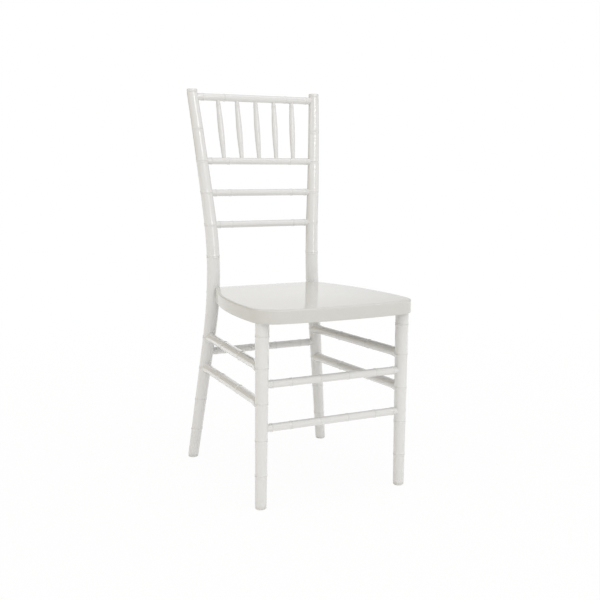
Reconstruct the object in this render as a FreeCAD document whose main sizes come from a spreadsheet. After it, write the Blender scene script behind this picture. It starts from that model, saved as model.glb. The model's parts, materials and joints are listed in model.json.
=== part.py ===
"""Chiavari chair: a stacking dining chair of turned "bamboo" poles around a moulded seat.

Every size is in millimetres.  X is the width, Y the depth with the back at +Y, and Z is up.
Depths are first measured from a datum line under the seat; the finished pieces are then
moved together, so that the origin lies on the floor under the middle of the chair.
"""
import FreeCAD, Part
import math
import os
import Sketcher
from FreeCAD import Placement, Rotation, Vector

os.makedirs("parts", exist_ok=True)
doc = FreeCAD.newDocument("ChiavariChair")

SIZES = {
    # whole chair
    "overall_height": 920.0,
    "fit_gap": 0.1,
    "bore_gap": 0.15,
    "bore_bottom_gap": 1.0,
    # raised rings of the turned poles
    "ring_height": 0.9,
    "ring_width": 8.0,
    # rear posts, from floor to top
    "post_foot_x": 183.7,
    "post_foot_y": 226.4,
    "post_side_splay": 0.113,
    "post_rear_splay": 0.104,
    "post_side_flare": 0.0835,
    "post_back_rake": 0.105,
    "post_rake_gain": 0.083,
    "post_side_bend_from": 345.0,
    "post_rear_bend_from": 265.0,
    "post_bend_to": 603.0,
    "post_foot_radius": 13.3,
    "post_waist_radius": 16.7,
    "post_top_radius": 12.9,
    "post_low_ring": 75.0,
    # caps on the posts
    "cap_height": 8.4,
    "cap_rounding": 1.8,
    "cap_neck": 0.6,
    "plug_radius": 4.0,
    "plug_length": 8.0,
    # back: rails and rings share one pitch, counted down from the top rail,
    # which lies a drop below the top of the chair
    "top_rail_drop": 18.7,
    "ring_pitch": 77.7,
    "top_rail_radius": 8.8,
    "cross_rail_radius": 8.2,
    "rail_ring_spread": 84.0,
    "tenon_radius": 5.5,
    "tenon_reach": 4.0,
    "top_tenon_reach": 6.0,
    "pole_setback": 5.0,
    "collar_setback": 16.0,
    # spindles
    "spindle_pitch_top": 50.5,
    "spindle_pitch_bottom": 47.3,
    "spindle_end_radius": 4.6,
    "spindle_belly_radius": 7.0,
    "spindle_tenon_radius": 3.2,
    "spindle_reach": 3.0,
    "spindle_collar": 15.0,
    # front legs
    "leg_top_x": 173.3,
    "leg_top_y": -185.7,
    "leg_foot_x": 175.6,
    "leg_foot_y": -180.0,
    "leg_top_radius": 15.2,
    "leg_foot_radius": 12.9,
    "leg_tenon_radius": 11.0,
    "leg_tenon_cover": 8.0,
    "leg_ring_drop": 28.8,
    "leg_ring_low": 153.1,
    "leg_ring_foot": 75.0,
    # stretchers
    "side_stretcher_high": 312.0,
    "side_stretcher_low": 233.9,
    "front_stretcher_high": 274.3,
    "front_stretcher_low": 178.3,
    "rear_stretcher_height": 274.8,
    "side_stretcher_radius": 10.9,
    "front_stretcher_radius": 8.7,
    "rear_stretcher_radius": 9.0,
    "side_stretcher_toe": 2.0,
    "stretcher_ring_near": 35.0,
    "stretcher_ring_far": 105.0,
    "side_ring_spread": 62.0,
    "flare_height": 2.4,
    "flare_hold": 10.0,
    "flare_length": 25.0,
    # glides under the feet
    "glide_height": 7.0,
    "glide_inset": 0.8,
    "glide_chamfer": 1.6,
    "glide_stem_radius": 4.0,
    "glide_stem_length": 12.0,
    # seat
    "seat_top": 439.2,
    "seat_depth": 30.0,
    "seat_wall": 4.0,
    "seat_plate": 4.0,
    "seat_side_overhang": 17.2,
    "seat_front_overhang": 35.3,
    "seat_front_bow": 15.0,
    "seat_rear_inset": 13.7,
    "seat_side_bow": 24.5,
    "seat_front_corner": 54.0,
    "seat_rear_corner": 12.0,
    "seat_edge_rounding": 4.2,
    "seat_lower_rounding": 1.2,
    "rib_thickness": 3.0,
    "rib_pitch_x": 64.0,
    "rib_pitch_y": 60.0,
    "rib_first_y": -150.0,
    "rib_lift": 1.0,
    "socket_wall": 5.0,
    "notch_gap": 0.3,
    # fasteners
    "screw_radius": 2.0,
    "screw_length": 15.0,
    "screw_head_radius": 4.2,
    "screw_head_height": 2.6,
    "screw_drop": 18.0,
    "screw_seat_depth": 1.2,
    "bolt_radius": 3.0,
    "bolt_length": 52.0,
    "bolt_head_radius": 5.0,
    "bolt_head_height": 4.0,
    "bolt_recess": 7.4,
    "bolt_angle": 35.0,
    "bolt_drop": 15.0,
    "nut_radius": 5.0,
    "nut_length": 15.0,
    "nut_setback": 8.0,
    "boss_wall": 4.0,
    "cover_proud": 1.2,
    "cover_rounding": 0.8,
}

FORMULAS = {
    "seat_underside": "=seat_top - seat_depth",
    "seat_front_x": "=leg_top_x + seat_side_overhang",
    "seat_front_y": "=leg_top_y - seat_front_overhang",
    "top_rail_height": "=overall_height - top_rail_drop",
    "leg_ring_top": "=seat_top - seat_depth - leg_ring_drop",
    "leg_tenon_length": "=seat_depth - leg_tenon_cover",
}

RAIL_STEPS = (2, 3, 4)
POST_RING_STEPS = (1, 2, 3, 4, 5)
POST_LOW_RINGS = ("post_low_ring", "leg_ring_low", "side_stretcher_low", "side_stretcher_high")
SPINDLE_PLACES = {"far_left": -2, "left": -1, "centre": 0, "right": 1, "far_right": 2}
LEG_RINGS = ("leg_ring_foot", "leg_ring_low", "side_stretcher_low", "side_stretcher_high", "leg_ring_top")
RIB_COLUMNS = (-2, -1, 0, 1, 2)
RIB_ROWS = (0, 1, 2, 3, 4, 5)
SIDES = {"left": -1.0, "right": 1.0}

# places along a spindle and how full it is there, as shares of its length and of its swell
SPINDLE_SWELL = ((0.25, 0.7), (0.42, 1.0), (0.58, 1.0), (0.75, 0.7))
# how much of a flare is left halfway down its cove
COVE_SHARE = 0.3
# facets of an eased edge, level sections of an upright in one ring pitch, and a length for "the same place"
EASE_STEPS = 3
SECTIONS_IN_PITCH = 3
NEAR = 1e-4

sheet = doc.addObject("Spreadsheet::Sheet", "Sizes")
rows = []


def add_size(alias, content):
    """Write a named size, a number or a formula of other sizes, on the next row of the sheet."""
    rows.append(alias)
    sheet.set("A%d" % len(rows), alias)
    sheet.set("B%d" % len(rows), str(content))
    sheet.setAlias("B%d" % len(rows), alias)


for known in (SIZES, FORMULAS):
    for name_on_sheet, value_on_sheet in known.items():
        add_size(name_on_sheet, value_on_sheet)
doc.recompute()


def size(alias):
    """The number that the sheet holds for a named size."""
    return float(sheet.get(alias))


def cell(alias):
    """The expression that binds a property to a named size."""
    return "Sizes." + alias


# Placing and joining


def along(start, end):
    """A placement at start whose Z axis points to end."""
    return Placement(start, Rotation(Vector(0, 0, 1), end - start))


def bind(item, **expressions):
    """Bind properties of an object to expressions on the sheet."""
    for name, expression in expressions.items():
        item.setExpression(name, expression)
    return item


def cylinder(name, start, end, radius, length=None):
    """A cylinder from start towards end, as long as the two are apart unless a length is given."""
    item = bind(doc.addObject("Part::Cylinder", name), Radius=radius)
    if length is None:
        item.Height = (end - start).Length
    else:
        bind(item, Height=length)
    item.Placement = along(start, end)
    return item


def fuse(name, items):
    """One solid made of all the items."""
    item = doc.addObject("Part::MultiFuse", name)
    item.Shapes = items
    item.Refine = False
    return item


def cut(name, base, tools):
    """The base with all the tools taken away."""
    item = doc.addObject("Part::Cut", name)
    item.Base = base
    item.Tool = tools[0] if len(tools) == 1 else fuse(name + "_tools", tools)
    item.Refine = False
    return item


def group(name, items):
    """Separate solids that share one node."""
    item = doc.addObject("Part::Compound", name)
    item.Links = items
    return item


# Turned pieces


def closed_profile(body, name, points):
    """A closed outline on the body's XZ plane; each point is a radius and a height, as expressions."""
    sketch = body.newObject("Sketcher::SketchObject", name)
    plane = [p for p in body.Origin.OriginFeatures if p.Role == "XZ_Plane"][0]
    sketch.AttachmentSupport = [(plane, "")]
    sketch.MapMode = "FlatFace"
    places = [tuple(float(sketch.evalExpression(e)) for e in point) for point in points]
    count = len(points)
    for i, (x, y) in enumerate(places):
        x_next, y_next = places[(i + 1) % count]
        sketch.addGeometry(Part.LineSegment(Vector(x, y, 0), Vector(x_next, y_next, 0)), False)
    for i in range(count):
        sketch.addConstraint(Sketcher.Constraint("Coincident", i, 2, (i + 1) % count, 1))
    axes = (("DistanceX", -2), ("DistanceY", -1))
    for i, point in enumerate(points):
        for (kind, axis), expression, value in zip(axes, point, places[i]):
            if abs(value) < 1e-9:
                sketch.addConstraint(Sketcher.Constraint("PointOnObject", i, 1, axis))
            else:
                index = sketch.addConstraint(Sketcher.Constraint(kind, -1, 1, i, 1, value))
                sketch.setExpression("Constraints[%d]" % index, expression)
    return sketch


def turned(name, points, placement):
    """A body turned about its own Z axis from an outline of radius and height."""
    body = doc.addObject("PartDesign::Body", name)
    sketch = closed_profile(body, name + "_outline", points)
    turning = body.newObject("PartDesign::Revolution", name + "_turning")
    turning.Profile = sketch
    turning.ReferenceAxis = (sketch, ["V_Axis"])
    turning.Angle = 360.0
    body.Placement = placement
    return body


def ring_points(radius_at, height):
    """The outline of one raised ring around a pole, low edge first."""
    half = "%s / 2" % cell("ring_width")
    quarter = "%s / 4" % cell("ring_width")
    rise = cell("ring_height")
    low, high = "(%s - %s)" % (height, half), "(%s + %s)" % (height, half)
    low_top, high_top = "(%s - %s)" % (height, quarter), "(%s + %s)" % (height, quarter)
    return [
        (radius_at(low), low),
        ("%s + %s" % (radius_at(low_top), rise), low_top),
        ("%s + %s" % (radius_at(high_top), rise), high_top),
        (radius_at(high), high),
    ]


def pole_outline(radius, rings, flare=False):
    """The outline, at any length, of a straight pole with raised rings and, where asked, coved ends."""
    rise, hold, reach = cell("flare_height"), cell("flare_hold"), cell("flare_length")
    halfway = "(%s + %s) / 2" % (hold, reach)
    cove = [(rise, "0"), (rise, hold), ("%s * %s" % (rise, COVE_SHARE), halfway), ("0", reach)]
    ends = cove if flare else [("0", "0")]

    def outline(length):
        low = [("%s + %s" % (radius, swell), place) for swell, place in ends]
        high = [("%s + %s" % (radius, swell), "%s - (%s)" % (length, place)) for swell, place in ends]
        middle = []
        for ring in rings:
            middle += ring_points(lambda place: radius, "(%s)" % ring.replace("L", length))
        return [("0", "0")] + low + middle + high[::-1] + [("0", length)]

    return outline


def eased_edge(wide, height, radius):
    """Outline points of a rounded top edge, from the side of a turned piece up to its flat top."""
    points = []
    for step in range(EASE_STEPS + 1):
        turn = math.pi / 2 * step / EASE_STEPS
        inward = "%s - %s * %.6f" % (wide, radius, 1 - math.cos(turn))
        points.append((inward, "%s - %s * %.6f" % (height, radius, 1 - math.sin(turn))))
    return points


# Rear posts


def drift(height, slope_low, slope_high, bend_from, bend_to):
    """Sideways travel of a pole whose slope turns evenly from one value to another in its bend."""
    if height <= bend_from:
        return slope_low * height
    gain = (slope_high - slope_low) / (bend_to - bend_from)
    inside = min(height, bend_to) - bend_from
    travel = slope_low * (bend_from + inside) + gain * inside * inside / 2
    return travel + slope_high * max(height - bend_to, 0.0)


def post_axis(height, side):
    """A point on the centre line of a post: splayed foot, bend at the seat, raked back."""
    x = size("post_foot_x") + drift(height, -size("post_side_splay"), size("post_side_flare"),
                                    size("post_side_bend_from"), size("post_bend_to"))
    y = size("post_foot_y") + drift(height, -size("post_rear_splay"), size("post_back_rake"),
                                    size("post_rear_bend_from"), size("post_bend_to"))
    above = max(height - size("post_bend_to"), 0.0)
    y += size("post_rake_gain") * above ** 2 / (2 * (size("overall_height") - size("post_bend_to")))
    return Vector(side * x, y, height)


def post_radius(height):
    """Radius of a post as an expression: thickest at the seat."""
    waist = size("seat_top")
    if height < waist:
        low, high, share = "post_foot_radius", "post_waist_radius", height / waist
    else:
        share = (height - waist) / (size("overall_height") - waist)
        low, high = "post_waist_radius", "post_top_radius"
    return "%s + (%s - %s) * %.6f" % (cell(low), cell(high), cell(low), share)


def rail_height(step):
    """Height of a rail or ring, counted in ring pitches down from the top rail."""
    return size("top_rail_height") - step * size("ring_pitch")


def post_rings():
    """Heights of the raised rings on a post, from the floor up."""
    above = [rail_height(step) for step in POST_RING_STEPS]
    below = [size(place) for place in POST_LOW_RINGS]
    return sorted(above + below)


def stations(low, high, rings):
    """Heights and ring rises of the level sections that an upright is drawn through."""
    count = math.ceil((high - low) * SECTIONS_IN_PITCH / size("ring_pitch"))
    half = size("ring_width") / 2
    plain = [low + (high - low) * i / count for i in range(count + 1)]
    clear = [h for h in plain if all(abs(h - ring) > size("ring_width") for ring in rings)]
    found = [(height, 0.0) for height in clear]
    for ring in rings:
        found += [(ring - half, 0.0), (ring - half / 2, 1.0), (ring + half / 2, 1.0), (ring + half, 0.0)]
    return sorted(found)


def level_solid(name, axis, side, radius, sections, extra="0"):
    """A solid drawn through level circles along an axis; extra widens every circle."""
    circles = []
    for height, raised in sections:
        circle = doc.addObject("Part::Circle", name + "_section")
        bind(circle, Radius="%s + %.1f * %s + %s" % (radius(height), raised, cell("ring_height"), extra))
        circle.Placement = Placement(axis(height, side), Rotation())
        circles.append(circle)
    solid = doc.addObject("Part::Loft", name)
    solid.Sections = circles
    solid.Solid = True
    solid.Ruled = True
    return solid


def post_solid(name, side, extra="0"):
    """A rear post from its glide up to its cap."""
    top = size("overall_height") - size("cap_height")
    sections = stations(size("glide_height"), top, post_rings())
    return level_solid(name, post_axis, side, post_radius, sections, extra)


# Front legs


def leg_axis(height, side):
    """A point on the centre line of a front leg."""
    share = height / size("seat_underside")
    x = size("leg_foot_x") + (size("leg_top_x") - size("leg_foot_x")) * share
    y = size("leg_foot_y") + (size("leg_top_y") - size("leg_foot_y")) * share
    return Vector(side * x, y, height)


def leg_radius(height):
    """Radius of a front leg as an expression: thickest under the seat."""
    low, high = cell("leg_foot_radius"), cell("leg_top_radius")
    return "%s + (%s - %s) * %.6f" % (low, high, low, height / size("seat_underside"))


def leg_solid(name, side, extra="0"):
    """A front leg from its glide up to the rim of the seat."""
    rings = [size(ring) for ring in LEG_RINGS]
    sections = stations(size("glide_height"), size("seat_underside") - size("fit_gap"), rings)
    return level_solid(name, leg_axis, side, leg_radius, sections, extra)


# Poles that run between two others


class Crossing:
    """A pole between two carriers: its axis ends, the ends of its tenons and its turned body."""

    def __init__(self, name, start, end, tenon_radius, reach):
        self.name = name
        self.start = start
        self.end = end
        self.direction = Vector(end - start).normalize()
        self.tenon_radius = tenon_radius
        self.tenon_start = start + self.direction * reach
        self.tenon_end = end - self.direction * reach
        self.body = None

    def turn(self, outline, setback):
        """Turn the pole from its outline, starting a setback away from the axis of each carrier."""
        first, last = self.start + self.direction * setback, self.end - self.direction * setback
        points = outline("%.6f" % (last - first).Length)
        self.body = turned(self.name + "_pole", points, along(first, last))

    def finish(self, reliefs, bores=()):
        """Cope the pole to its carriers, give it one rod of tenons and drill it where asked."""
        coped = cut(self.name + "_coped", self.body, reliefs)
        rod = cylinder(self.name + "_tenons", self.tenon_start, self.tenon_end, self.tenon_radius)
        if not bores:
            return node(fuse(self.name, [coped, rod]))
        return node(cut(self.name, fuse(self.name + "_pole_and_tenons", [coped, rod]), list(bores)))

    def bore(self, at_end):
        """The blind bore in a carrier that takes one tenon, with a little room all round."""
        outward = self.direction * (1.0 if at_end else -1.0)
        tip = self.tenon_end if at_end else self.tenon_start
        bottom = tip + outward * size("bore_bottom_gap")
        middle = (self.start + self.end) * 0.5
        radius = "%s + %s" % (self.tenon_radius, cell("bore_gap"))
        return cylinder(self.name + "_bore", bottom, middle, radius)


# Pieces that are handed over

NODES = []


def node(item):
    """Take an object as a finished piece and move it from the drawing datum to the chair's origin."""
    item.Label = item.Name
    front = size("seat_front_y") - size("seat_front_bow")
    back = post_axis(size("overall_height") - size("cap_height"), 1.0).y
    back += size("post_top_radius")
    item.Placement = Placement(Vector(0, -(front + back) / 2, 0), Rotation()).multiply(item.Placement)
    NODES.append(item)
    return item


def post_link(name, height, radius, rings, reach):
    """A level pole between the two rear posts."""
    item = Crossing(name, post_axis(height, -1.0), post_axis(height, 1.0), cell("tenon_radius"), reach)
    item.turn(pole_outline(radius, rings), size("pole_setback"))
    return item


def finish_post_link(item, bores=()):
    """Cope a pole to the two rear posts."""
    rooms = [post_solid(item.name + "_room", side, cell("fit_gap")) for side in SIDES.values()]
    item.finish(rooms, bores)


def ring_places(*spreads):
    """Ring places along a pole of length L: a collar at each end and pairs about the middle."""
    collar = cell("collar_setback")
    low = ["L / 2 - %s" % cell(spread) for spread in spreads]
    high = ["L / 2 + %s" % cell(spread) for spread in reversed(spreads)]
    return [collar] + low + high + ["L - " + collar]


def back_rails():
    """The top rail and the three cross rails."""
    rings = ring_places("rail_ring_spread")
    top = post_link("top_rail", rail_height(0), cell("top_rail_radius"), rings, size("top_tenon_reach"))
    names = ("cross_rail_upper", "cross_rail_middle", "cross_rail_lower")
    radius = cell("cross_rail_radius")
    return [top] + [
        post_link(name, rail_height(step), radius, rings, size("tenon_reach"))
        for name, step in zip(names, RAIL_STEPS)
    ]


def spindle_outline(length):
    """Outline of a spindle: slim ends, a full middle and a small collar near the top."""
    thin, full = cell("spindle_end_radius"), cell("spindle_belly_radius")
    points = [("0", "0"), (thin, "0")]
    for share, swell in SPINDLE_SWELL:
        points.append(("%s + (%s - %s) * %s" % (thin, full, thin, swell), "%s * %s" % (length, share)))
    collar = "(%s - %s)" % (length, cell("spindle_collar"))
    return points + ring_points(lambda place: thin, collar) + [(thin, length), ("0", length)]


def spindles(top, low):
    """The five spindles that fan out from the upper cross rail to the top rail."""
    found = []
    gap = cell("fit_gap")
    for word, place in SPINDLE_PLACES.items():
        start = Vector(place * size("spindle_pitch_bottom"), low.start.y, low.start.z)
        end = Vector(place * size("spindle_pitch_top"), top.start.y, top.start.z)
        item = Crossing("spindle_" + word, start, end, cell("spindle_tenon_radius"), size("spindle_reach"))
        item.turn(spindle_outline, size("pole_setback"))
        low_room = cylinder(item.name + "_low_room", low.start, low.end,
                            "%s + %s" % (cell("cross_rail_radius"), gap))
        top_room = cylinder(item.name + "_top_room", top.start, top.end,
                            "%s + %s" % (cell("top_rail_radius"), gap))
        item.finish([low_room, top_room])
        found.append(item)
    return found


# Frame under the seat


def front_stretchers():
    """The two level poles between the front legs."""
    found = []
    rings = ring_places("stretcher_ring_far", "stretcher_ring_near")
    for name, height in (("front_stretcher_upper", "front_stretcher_high"),
                         ("front_stretcher_lower", "front_stretcher_low")):
        ends = leg_axis(size(height), -1.0), leg_axis(size(height), 1.0)
        item = Crossing(name, ends[0], ends[1], cell("tenon_radius"), size("tenon_reach"))
        item.turn(pole_outline(cell("front_stretcher_radius"), rings), size("pole_setback"))
        item.finish([leg_solid(name + "_room", side, cell("fit_gap")) for side in SIDES.values()])
        found.append(item)
    return found


def side_stretchers(word, side):
    """The two level poles between a front leg and a rear post, toed out towards the front."""
    found = []
    rings = ["L / 2 - " + cell("side_ring_spread"), "L / 2 + " + cell("side_ring_spread")]
    toe = Vector(side * size("side_stretcher_toe"), 0, 0)
    for place, height in (("upper", "side_stretcher_high"), ("lower", "side_stretcher_low")):
        name = "side_stretcher_%s_%s" % (place, word)
        front, rear = leg_axis(size(height), side) + toe, post_axis(size(height), side) - toe
        item = Crossing(name, front, rear, cell("tenon_radius"), size("tenon_reach"))
        item.turn(pole_outline(cell("side_stretcher_radius"), rings, flare=True), size("pole_setback"))
        item.finish([
            leg_solid(name + "_leg_room", side, cell("fit_gap")),
            post_solid(name + "_post_room", side, cell("fit_gap")),
        ])
        found.append(item)
    return found


def foot_glide(name, axis, side, radius):
    """A glide under a foot, bevelled at the floor, with a stem that goes up into the pole."""
    def inset(height):
        return "%s - %s" % (radius(0.0), cell("glide_inset"))

    def bevelled(height):
        return "%s - %s" % (inset(height), cell("glide_chamfer"))

    top = size("glide_height")
    bevel = level_solid(name + "_bevel", axis, side, lambda h: bevelled(h) if h == 0.0 else inset(h),
                        [(0.0, 0.0), (size("glide_chamfer"), 0.0), (top, 0.0)])
    stem = cylinder(name + "_stem", axis(top / 2, side), axis(top + size("glide_stem_length"), side),
                    cell("glide_stem_radius"))
    return node(fuse(name, [bevel, stem]))


def stem_bore(name, axis, side):
    """The bore in a foot that takes the stem of its glide."""
    top = size("glide_height") + size("glide_stem_length") + size("bore_bottom_gap")
    return cylinder(name + "_stem_bore", axis(size("glide_height") / 2, side), axis(top, side),
                    "%s + %s" % (cell("glide_stem_radius"), cell("bore_gap")))


# Seat fixings


def level_run(origin, outward, start, end):
    """Two points on a level line through origin, at two distances along an outward direction."""
    return origin + outward * start, origin + outward * end


class SeatBolt:
    """The bolt that goes through a rear post into the corner of the seat, level and diagonal."""

    def __init__(self, side):
        self.origin = post_axis(size("seat_top") - size("bolt_drop"), side)
        angle = math.radians(size("bolt_angle"))
        self.outward = Vector(side * math.sin(angle), math.cos(angle), 0)
        self.skin = size("post_waist_radius")
        self.head_seat = self.skin - size("bolt_recess")
        self.tip = self.head_seat - size("bolt_length")
        self.insert_start = -(self.skin + size("nut_setback"))
        self.insert_end = self.insert_start - size("nut_length")

    def rod(self, name, start, end, radius):
        """A cylinder on the axis of the bolt between two distances from the post's centre."""
        low, high = level_run(self.origin, self.outward, start, end)
        return cylinder(name, low, high, radius)

    def bolt(self):
        """The bolt: shank and round head."""
        head_top = self.head_seat + size("bolt_head_height")
        shank = self.rod("bolt_shank", self.tip, self.head_seat, cell("bolt_radius"))
        head = self.rod("bolt_head", self.head_seat, head_top, cell("bolt_head_radius"))
        return fuse("bolt", [shank, head])

    def insert(self):
        """The threaded sleeve moulded into the seat."""
        run = (self.insert_end, self.insert_start)
        sleeve = self.rod("insert_sleeve", *run, cell("nut_radius"))
        return cut("insert", sleeve, [self.rod("insert_thread", *run, cell("bolt_radius"))])

    def cover(self):
        """The small domed plug over the head of the bolt."""
        start = self.head_seat + size("bolt_head_height")
        length = "(%s - %s + %s)" % (cell("bolt_recess"), cell("bolt_head_height"), cell("cover_proud"))
        radius = "(%s + %s)" % (cell("bolt_head_radius"), cell("bore_gap"))
        points = [("0", "0"), (radius, "0")] + eased_edge(radius, length, cell("cover_rounding"))
        low, high = level_run(self.origin, self.outward, start, start + size("cover_proud"))
        return turned("cover", points + [("0", length)], along(low, high))

    def post_bores(self):
        """The through bore in the post and the pocket for the head."""
        out = self.skin * 2
        room = "%s + %s" % (cell("bolt_radius"), cell("bore_gap"))
        pocket = "%s + %s" % (cell("bolt_head_radius"), cell("bore_gap"))
        bore = self.rod("bolt_bore", -out, self.head_seat, room)
        return [bore, self.rod("head_pocket", self.head_seat, out, pocket)]

    def seat_boss(self):
        """The block inside the seat that holds the sleeve."""
        end = self.tip - size("boss_wall")
        return self.rod("bolt_boss", end, 0.0, "%s + %s" % (cell("nut_radius"), cell("boss_wall")))

    def seat_bores(self):
        """The room for bolt and sleeve in the seat."""
        run = (self.insert_end, self.insert_start)
        room = "%s + %s" % (cell("bolt_radius"), cell("bore_gap"))
        bore = self.rod("seat_bolt_bore", self.tip - size("bore_bottom_gap"), 0.0, room)
        return [bore, self.rod("sleeve_room", *run, cell("nut_radius"))]


class LegScrew:
    """The screw that locks a front leg's tenon in its socket, driven level from inside the seat."""

    def __init__(self, side):
        self.origin = leg_axis(size("seat_top") - size("screw_drop"), side)
        self.inward = Vector(-side, 0, 0)
        self.head_seat = size("leg_tenon_radius") + size("socket_wall") - size("screw_seat_depth")

    def rod(self, name, start, end, radius):
        """A cylinder on the axis of the screw between two distances from the leg's centre."""
        low, high = level_run(self.origin, self.inward, start, end)
        return cylinder(name, low, high, radius)

    def screw(self):
        """The screw: shank and round head."""
        head_top = self.head_seat + size("screw_head_height")
        tip = self.head_seat - size("screw_length")
        shank = self.rod("screw_shank", tip, self.head_seat, cell("screw_radius"))
        head = self.rod("screw_head", self.head_seat, head_top, cell("screw_head_radius"))
        return fuse("screw", [shank, head])

    def bore(self):
        """The hole for the shank in tenon and socket."""
        start = self.head_seat - size("screw_length") - size("bore_bottom_gap")
        return self.rod("screw_bore", start, self.head_seat, cell("screw_radius"))

    def head_room(self):
        """The flat that the head sits on, cut into the round socket."""
        end = self.head_seat + size("screw_head_height") + size("bore_bottom_gap")
        radius = "%s + %s" % (cell("screw_head_radius"), cell("bore_gap"))
        return self.rod("screw_head_room", self.head_seat, end, radius)


# Seat


def seat_outline(body, name, inset):
    """The seat's plan: bowed front and sides and a straight back, drawn an inset inside the edge."""
    sketch = body.newObject("Sketcher::SketchObject", name)
    plane = [p for p in body.Origin.OriginFeatures if p.Role == "XY_Plane"][0]
    sketch.AttachmentSupport = [(plane, "")]
    sketch.MapMode = "FlatFace"
    front_x, rear_x = ("(%s - %s)" % (cell(a), inset) for a in ("seat_front_x", "seat_rear_x"))
    front_y = "(-%s - %s)" % (cell("seat_front_y"), inset)
    rear_y = "(%s - %s)" % (cell("seat_rear_y"), inset)
    fx, rx, fy, ry = (float(sketch.evalExpression(e)) for e in (front_x, rear_x, front_y, rear_y))
    corners = [Vector(fx, -fy, 0), Vector(rx, ry, 0), Vector(-rx, ry, 0), Vector(-fx, -fy, 0)]
    bows = [size("seat_side_bow"), 0.0, size("seat_side_bow"), size("seat_front_bow")]
    for i, bow in enumerate(bows):
        start, end = corners[i], corners[(i + 1) % 4]
        chord = end - start
        outward = Vector(chord.y, -chord.x, 0).normalize()
        middle = (start + end) * 0.5 + outward * bow
        edge = Part.Arc(start, middle, end) if bow else Part.LineSegment(start, end)
        sketch.addGeometry(edge, False)
    for i in range(4):
        sketch.addConstraint(Sketcher.Constraint("Coincident", i, 2, (i + 1) % 4, 1))
    sketch.addConstraint(Sketcher.Constraint("Symmetric", 0, 1, 3, 1, -2))
    sketch.addConstraint(Sketcher.Constraint("Symmetric", 1, 1, 2, 1, -2))
    side_chord = "((%s - %s)^2 + (%s + %s)^2)" % (front_x, rear_x, front_y, rear_y)
    side_radius = "%s / (8 * %s) + %s / 2" % (side_chord, cell("seat_side_bow"), cell("seat_side_bow"))
    front_radius = "%s^2 / (2 * %s) + %s / 2" % (front_x, cell("seat_front_bow"), cell("seat_front_bow"))
    for kind, first, second, expression in (
        ("DistanceX", (-1, 1), (0, 1), front_x),
        ("DistanceY", (0, 1), (-1, 1), front_y),
        ("DistanceX", (-1, 1), (1, 1), rear_x),
        ("DistanceY", (-1, 1), (1, 1), rear_y),
    ):
        value = float(sketch.evalExpression(expression))
        index = sketch.addConstraint(Sketcher.Constraint(kind, *first, *second, value))
        sketch.setExpression("Constraints[%d]" % index, expression)
    for edge, expression in ((0, side_radius), (2, side_radius), (3, front_radius)):
        value = float(sketch.evalExpression(expression))
        index = sketch.addConstraint(Sketcher.Constraint("Radius", edge, value))
        sketch.setExpression("Constraints[%d]" % index, expression)
    return sketch


def edge_names(shape, wanted):
    """Names of the edges whose end points all pass a test."""
    return [
        "Edge%d" % (i + 1)
        for i, edge in enumerate(shape.Edges)
        if edge.Vertexes and all(wanted(vertex.Point) for vertex in edge.Vertexes)
    ]


def rounded(body, base, name, wanted, radius):
    """Round the edges of the last feature whose end points pass a test."""
    doc.recompute()
    fillet = body.newObject("PartDesign::Fillet", name)
    fillet.Base = (base, edge_names(base.Shape, wanted))
    bind(fillet, Radius=radius)
    return fillet


def corner_edges(shape, at_front):
    """Names of the upright edges at the front corners, or at the rear corners, of a slab."""
    return [
        name for name in edge_names(shape, lambda point: (point.y < 0) == at_front)
        if shape.getElement(name).BoundBox.ZLength > NEAR
    ]


def seat_slab(name, inset, length):
    """The seat's plan padded to a slab with its four upright edges rounded."""
    body = doc.addObject("PartDesign::Body", name)
    last = body.newObject("PartDesign::Pad", name + "_pad")
    last.Profile = seat_outline(body, name + "_outline", inset)
    bind(last, Length=length)
    for word, at_front in (("front", True), ("rear", False)):
        doc.recompute()
        fillet = body.newObject("PartDesign::Fillet", "%s_%s_corners" % (name, word))
        fillet.Base = (last, corner_edges(last.Shape, at_front))
        bind(fillet, Radius="%s - %s" % (cell("seat_%s_corner" % word), inset))
        last = fillet
    return body, last


def seat_ribs():
    """The ribs under the seat: columns run front to back and rows run side to side."""
    reach = size("seat_front_x") + size("seat_rear_y")
    half, base = size("rib_thickness") / 2, size("seat_underside") + size("rib_lift")
    thick, tall = cell("rib_thickness"), "%s - %s" % (cell("seat_depth"), cell("rib_lift"))
    ribs = []
    for place in RIB_COLUMNS:
        rib = bind(doc.addObject("Part::Box", "seat_rib_column"), Length=thick, Height=tall)
        rib.Width = 2 * reach
        rib.Placement = Placement(Vector(place * size("rib_pitch_x") - half, -reach, base), Rotation())
        ribs.append(rib)
    for place in RIB_ROWS:
        rib = bind(doc.addObject("Part::Box", "seat_rib_row"), Width=thick, Height=tall)
        rib.Length = 2 * reach
        middle = size("rib_first_y") + place * size("rib_pitch_y")
        rib.Placement = Placement(Vector(-reach, middle - half, base), Rotation())
        ribs.append(rib)
    return ribs


def seat_sockets(side, bolt):
    """What stays solid in the hollow at one side: leg socket, sleeve round the post and bolt boss."""
    foot, head = (leg_axis(size(level), side) for level in ("seat_underside", "seat_top"))
    post = post_axis(size("seat_top"), side)
    return [
        cylinder("leg_socket", foot, head, "%s + %s" % (cell("leg_tenon_radius"), cell("socket_wall"))),
        cylinder("post_sleeve", Vector(post.x, post.y, size("seat_underside")), post,
                 "%s + %s" % (cell("post_waist_radius"), cell("socket_wall"))),
        bolt.seat_boss(),
    ]


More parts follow.
